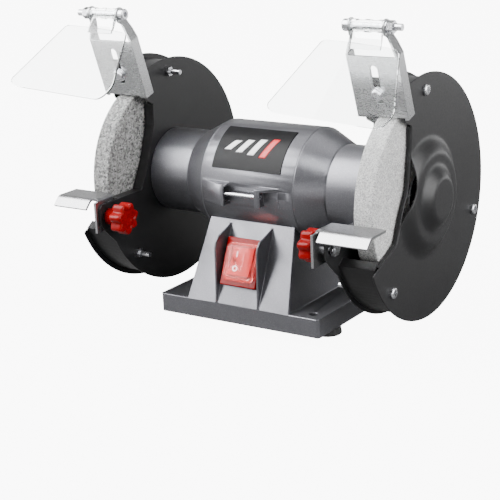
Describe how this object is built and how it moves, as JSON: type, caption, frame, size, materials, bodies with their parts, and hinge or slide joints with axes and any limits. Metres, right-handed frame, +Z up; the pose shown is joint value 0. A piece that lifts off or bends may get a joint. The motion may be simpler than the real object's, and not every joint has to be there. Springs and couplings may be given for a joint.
{
  "type": "bench grinder",
  "caption": "Bench grinder: drum motor on a pedestal base, guarded grinding wheels, clear eye shields, spark brackets, tool rests, rocker switch.",
  "frame": {"origin": "middle of the two bench-bolt holes, on the top face of the base plate, 22.4 mm above the bench", "axes": "+Z up, +X along the shaft to the operator's right, the operator stands at -Y"},
  "size_m": [0.34, 0.202, 0.2483],
  "materials": {
    "grey_paint": "metallic grey satin enamel",
    "black_paint": "satin black powder coat",
    "zinc": "bright zinc plate",
    "steel": "bright zinc-plated steel",
    "red_plastic": "gloss",
    "clear_plastic": "clear polycarbonate",
    "clear_vinyl": "clear soft vinyl",
    "black_plastic": "matte",
    "label_film": "gloss black film",
    "rubber": "matte",
    "fine_abrasive": "fine grey grit",
    "coarse_abrasive": "coarse grey grit",
    "copper": "enamelled copper wire",
    "lamination": "stacked steel sheet",
    "bearing_steel": "ground",
    "can_aluminium": "drawn can",
    "card": "pressed card"
  },
  "bodies": {
    "frame": {"base_housing": "grey_paint", "bottom_plate": "black_paint", "rubber_feet": "rubber", "foot_screws": "steel", "cable_gland": "black_plastic", "switch_body": "black_plastic", "switch_bezel": "red_plastic", "switch_boot": "clear_vinyl", "run_capacitor": "can_aluminium", "capacitor_clip": "steel", "terminal_block": "black_plastic", "motor_housing": "grey_paint", "motor_screws": "steel", "front_rod": "steel", "nameplate": "label_film", "right_end_bell": "grey_paint", "left_end_bell": "grey_paint", "bell_screws": "steel", "stator_core": "lamination", "stator_windings": "copper", "bearing_outer_rings": "bearing_steel", "right_inner_guard": "black_paint", "left_inner_guard": "black_paint", "right_outer_cover": "black_paint", "left_outer_cover": "black_paint", "cover_screws": "steel", "cover_nuts": "steel", "guard_screws": "steel", "spark_screws": "steel", "spark_washers": "steel", "spark_nuts": "steel"},
    "rotor": {"rotor_core": "lamination", "motor_shaft": "steel", "bearing_inner_rings": "bearing_steel", "bearing_balls": "bearing_steel", "right_wheel": "fine_abrasive", "left_wheel": "coarse_abrasive", "wheel_blotters": "card", "inner_flanges": "steel", "outer_flanges": "steel", "arbor_nuts": "steel"},
    "rocker": {"switch_rocker": "red_plastic"},
    "right_spark_guard": {"right_spark_bracket": "zinc", "right_pivot_bolt": "steel", "right_pivot_nut": "steel"},
    "right_shield": {"right_eye_shield": "clear_plastic"},
    "right_rest": {"right_tool_rest": "zinc", "right_rest_nut": "steel"},
    "right_knob": {"right_rest_knob": "red_plastic", "right_rest_stud": "steel"},
    "left_spark_guard": {"left_spark_bracket": "zinc", "left_pivot_bolt": "steel", "left_pivot_nut": "steel"},
    "left_shield": {"left_eye_shield": "clear_plastic"},
    "left_rest": {"left_tool_rest": "zinc", "left_rest_nut": "steel"},
    "left_knob": {"left_rest_knob": "red_plastic", "left_rest_stud": "steel"}
  },
  "joints": [
    {"name": "rotor_spin", "type": "hinge", "parent": "frame", "child": "rotor", "pos_m": [0, 0, 0.0856], "axis": [1, 0, 0], "continuous": true},
    {"name": "switch_rock", "type": "hinge", "parent": "frame", "child": "rocker", "pos_m": [0, -0.05319, 0.03135], "axis": [1, 0, 0], "range_deg": [0, 18]},
    {"name": "right_spark_slide", "type": "slide", "parent": "frame", "child": "right_spark_guard", "axis": [0, -0.3166, 0.9485], "range_m": [0, 0.0055]},
    {"name": "right_shield_tilt", "type": "hinge", "parent": "right_spark_guard", "child": "right_shield", "pos_m": [0.117, -0.05694, 0.22036], "axis": [1, 0, 0], "range_deg": [-110, 6]},
    {"name": "right_rest_slide", "type": "slide", "parent": "frame", "child": "right_rest", "axis": [0, 1, 0], "range_m": [-0.003, 0.0045]},
    {"name": "right_knob_turn", "type": "hinge", "parent": "right_rest", "child": "right_knob", "pos_m": [0.09, -0.0895, 0.0666], "axis": [1, 0, 0], "range_deg": [-360, 0]},
    {"name": "left_spark_slide", "type": "slide", "parent": "frame", "child": "left_spark_guard", "axis": [0, -0.3166, 0.9485], "range_m": [0, 0.0055]},
    {"name": "left_shield_tilt", "type": "hinge", "parent": "left_spark_guard", "child": "left_shield", "pos_m": [-0.117, -0.05694, 0.22036], "axis": [1, 0, 0], "range_deg": [-94, 22]},
    {"name": "left_rest_slide", "type": "slide", "parent": "frame", "child": "left_rest", "axis": [0, 1, 0], "range_m": [-0.003, 0.0045]},
    {"name": "left_knob_turn", "type": "hinge", "parent": "left_rest", "child": "left_knob", "pos_m": [-0.09, -0.0895, 0.0666], "axis": [1, 0, 0], "range_deg": [0, 360]}
  ]
}
